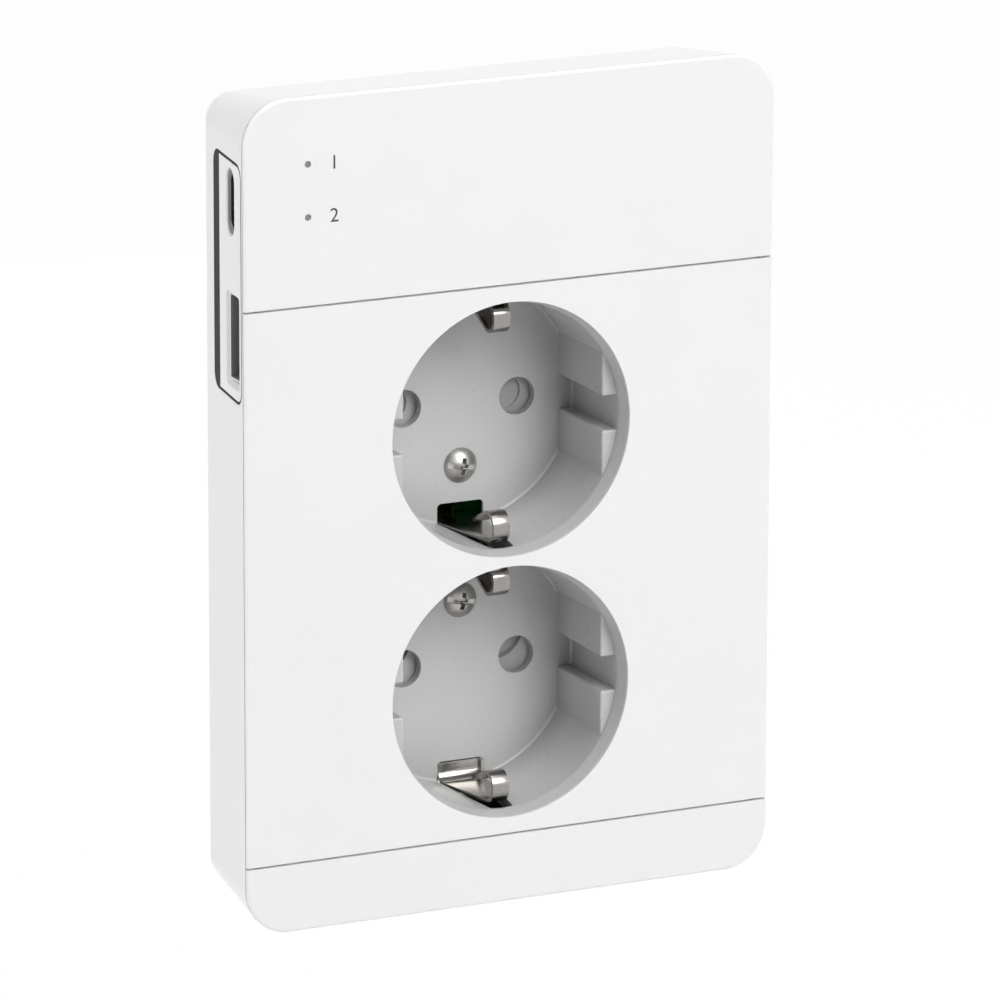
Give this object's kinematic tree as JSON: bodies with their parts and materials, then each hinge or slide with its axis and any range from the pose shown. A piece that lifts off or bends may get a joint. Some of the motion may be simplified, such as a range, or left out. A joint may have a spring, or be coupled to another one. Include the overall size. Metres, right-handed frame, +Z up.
{
  "type": "usb wall socket",
  "caption": "Flush-mounted vertical wall socket with round earthed wells, sliding shutters, sprung earth clips and a charger with side ports behind a grooved flat cover.",
  "frame": {"origin": "centre of the wall box on the wall's surface, midway between the wells", "axes": "+X right seen from the front, +Z up, +Y into the wall; the face looks along -Y"},
  "size_m": [0.0872, 0.0483, 0.128],
  "materials": {
    "white_case": "satin white moulding",
    "grey_well": "fine matt light grey moulding",
    "shutter_grey": "matt grey moulding",
    "dark_print": "matt dark grey",
    "base_black": "matt black glass-filled moulding",
    "clip_steel": "nickel-plated spring strip",
    "plate_steel": "zinc-plated sheet",
    "contact_brass": "bare brass",
    "board_green": "green solder mask",
    "lever_orange": "orange moulding",
    "light_pipe": "clear moulding",
    "led_body": "pale resin",
    "transformer_tape": "yellow tape over a dark core",
    "capacitor_can": "sleeved can"
  },
  "bodies": {
    "case": {"housing": "white_case", "top_cover": "white_case", "socket_cover": "white_case", "bottom_cover": "white_case", "well_moulding": "grey_well", "mounting_plate": "plate_steel", "contact_base": "base_black", "rear_cover": "base_black", "line_busbar": "contact_brass", "neutral_busbar": "contact_brass", "earth_strap": "clip_steel", "power_board": "board_green", "clamp_springs": "clip_steel", "upper_shutter_spring": "clip_steel", "lower_shutter_spring": "clip_steel", "upper_cover_screw": "clip_steel", "lower_cover_screw": "clip_steel", "line_terminal": "contact_brass", "neutral_terminal": "contact_brass", "earth_terminal": "contact_brass", "base_screws": "clip_steel", "usb_board": "board_green", "usb_c_shell": "clip_steel", "usb_a_shell": "clip_steel", "usb_c_tongue": "base_black", "usb_a_tongue": "base_black", "port_surround": "dark_print", "port_panel": "white_case", "upper_light_pipe": "light_pipe", "lower_light_pipe": "light_pipe", "indicator_leds": "led_body", "transformer": "transformer_tape", "input_capacitor": "capacitor_can", "output_capacitor": "capacitor_can", "choke": "base_black", "charge_controller": "base_black", "board_screws": "clip_steel"},
    "upper_shutter": {"upper_shutter": "shutter_grey"},
    "lower_shutter": {"lower_shutter": "shutter_grey"},
    "earth_clip_1": {"earth_clip_1": "clip_steel"},
    "earth_clip_2": {"earth_clip_2": "clip_steel"},
    "earth_clip_3": {"earth_clip_3": "clip_steel"},
    "earth_clip_4": {"earth_clip_4": "clip_steel"},
    "line_lever": {"line_lever": "lever_orange"},
    "neutral_lever": {"neutral_lever": "lever_orange"},
    "earth_lever": {"earth_lever": "lever_orange"}
  },
  "joints": [
    {"name": "upper_shutter_slide", "type": "slide", "parent": "case", "child": "upper_shutter", "axis": [0, 0, -1], "range_m": [0, 0.0062], "stiffness_N_per_m": 100, "springref_m": -0.002, "deforming": ["upper_shutter_spring"]},
    {"name": "lower_shutter_slide", "type": "slide", "parent": "case", "child": "lower_shutter", "axis": [0, 0, 1], "range_m": [0, 0.0062], "stiffness_N_per_m": 100, "springref_m": -0.002, "deforming": ["lower_shutter_spring"]},
    {"name": "earth_clip_1_flex", "type": "hinge", "parent": "case", "child": "earth_clip_1", "pos_m": [0, -0.00175, 0.03925], "axis": [-1, 0, 0], "range_deg": [0, 4], "stiffness_Nm_per_rad": 1, "springref_deg": -1.15},
    {"name": "earth_clip_2_flex", "type": "hinge", "parent": "case", "child": "earth_clip_2", "pos_m": [0, 0.00298, 0.00165], "axis": [1, 0, 0], "range_deg": [0, 3], "stiffness_Nm_per_rad": 1, "springref_deg": -1.15},
    {"name": "earth_clip_3_flex", "type": "hinge", "parent": "case", "child": "earth_clip_3", "pos_m": [0, 0.00298, -0.00165], "axis": [-1, 0, 0], "range_deg": [0, 3], "stiffness_Nm_per_rad": 1, "springref_deg": -1.15},
    {"name": "earth_clip_4_flex", "type": "hinge", "parent": "case", "child": "earth_clip_4", "pos_m": [0, -0.00175, -0.03925], "axis": [1, 0, 0], "range_deg": [0, 4], "stiffness_Nm_per_rad": 1, "springref_deg": -1.15},
    {"name": "line_lever_press", "type": "slide", "parent": "case", "child": "line_lever", "axis": [0, -1, 0], "range_m": [0, 0.0012], "stiffness_N_per_m": 400, "springref_m": -0.001},
    {"name": "neutral_lever_press", "type": "slide", "parent": "case", "child": "neutral_lever", "axis": [0, -1, 0], "range_m": [0, 0.0012], "stiffness_N_per_m": 400, "springref_m": -0.001},
    {"name": "earth_lever_press", "type": "slide", "parent": "case", "child": "earth_lever", "axis": [0, -1, 0], "range_m": [0, 0.0012], "stiffness_N_per_m": 400, "springref_m": -0.001}
  ]
}
